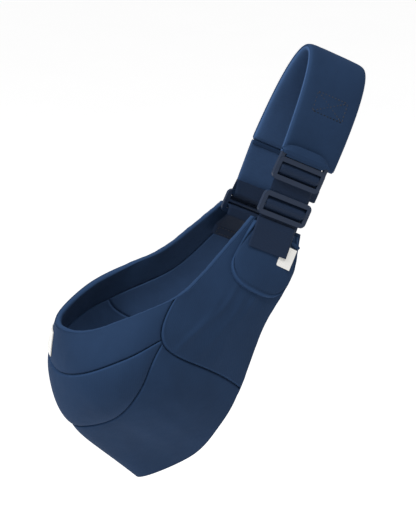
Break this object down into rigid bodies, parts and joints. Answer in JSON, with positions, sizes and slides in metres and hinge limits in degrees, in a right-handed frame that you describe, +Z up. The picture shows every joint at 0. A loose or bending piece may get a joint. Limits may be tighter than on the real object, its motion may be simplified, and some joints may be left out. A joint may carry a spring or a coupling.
{
  "type": "soft baby carrier",
  "caption": "One-shoulder soft baby carrier: padded strap folded over the shoulder, webbing with slide buckles in front and behind, and a cupped padded pouch.",
  "frame": {"origin": "underside of the strap's top fold, at the middle of its width, where the wearer's shoulder is", "axes": "+Z up as worn, +X across the body towards the side that the strap leans to, +Y from the front leg of the strap to the rear leg"},
  "size_m": [0.3649, 0.1579, 0.4663],
  "materials": {
    "navy_cloth": "soft matt cotton jersey",
    "lining_cloth": "soft matt cotton jersey, slightly lighter",
    "webbing": "ribbed woven webbing",
    "padding": "bonded wadding and soft foam",
    "buckle_plastic": "satin moulded plastic",
    "thread": "twisted sewing thread",
    "label_cloth": "woven satin label, blank"
  },
  "bodies": {
    "shoulder_strap": {"shoulder_cover": "navy_cloth", "shoulder_webbing": "webbing", "shoulder_foam": "padding", "shoulder_lining": "lining_cloth", "shoulder_edge_seams": "navy_cloth", "shoulder_box_stitching": "thread", "adjuster_tab": "navy_cloth", "rear_strap_cover": "navy_cloth", "rear_strap_padding": "padding", "rear_strap_lining": "lining_cloth", "rear_seam_tape": "navy_cloth", "rear_upper_loop": "webbing"},
    "ladder_lock": {"ladder_lock": "buckle_plastic"},
    "keeper_slider": {"keeper_slider": "buckle_plastic"},
    "rear_slider": {"rear_slider": "buckle_plastic"},
    "webbing_tail": {"webbing_tail": "webbing", "tail_hem": "webbing"},
    "pouch": {"front_webbing": "webbing", "webbing_patch": "webbing", "front_side_panel": "navy_cloth", "rear_side_panel": "navy_cloth", "rim_band": "navy_cloth", "cup_gore": "navy_cloth", "seat_base_panel": "navy_cloth", "pouch_wadding": "padding", "rim_facing": "navy_cloth", "front_lining": "lining_cloth", "seat_lining": "lining_cloth", "rear_lining": "lining_cloth", "rim_binding": "navy_cloth", "hem_binding": "navy_cloth", "flap_padding": "padding", "flap_cover": "navy_cloth", "rear_webbing": "webbing", "rear_box_stitching": "thread", "side_label": "label_cloth", "hanging_loop": "navy_cloth", "rim_label": "label_cloth"}
  },
  "joints": [
    {"name": "strap_let_out", "type": "hinge", "parent": "shoulder_strap", "child": "pouch", "pos_m": [-0.08799, 0.0274, -0.15874], "axis": [0.8988, 0, -0.4384], "range_deg": [0, 15], "deforming": ["front_webbing"]},
    {"name": "ladder_lock_lift", "type": "hinge", "parent": "shoulder_strap", "child": "ladder_lock", "pos_m": [-0.05527, -0.0435, -0.09165], "axis": [-0.8988, 0, 0.4384], "range_deg": [0, 8]},
    {"name": "keeper_slide", "type": "slide", "parent": "pouch", "child": "keeper_slider", "axis": [0.4384, 0, 0.8988], "range_m": [0, 0.01]},
    {"name": "rear_slider_rock", "type": "hinge", "parent": "shoulder_strap", "child": "rear_slider", "pos_m": [-0.08332, 0.0274, -0.14917], "axis": [0.8988, 0, -0.4384], "range_deg": [-2, 2]},
    {"name": "tail_slide", "type": "slide", "parent": "shoulder_strap", "child": "webbing_tail", "axis": [0.4384, 0, 0.8988], "range_m": [0, 0.0215]}
  ],
  "couplings": [
    {"joint": "tail_slide", "follows": "strap_let_out", "m_per_rad": 0.08}
  ]
}
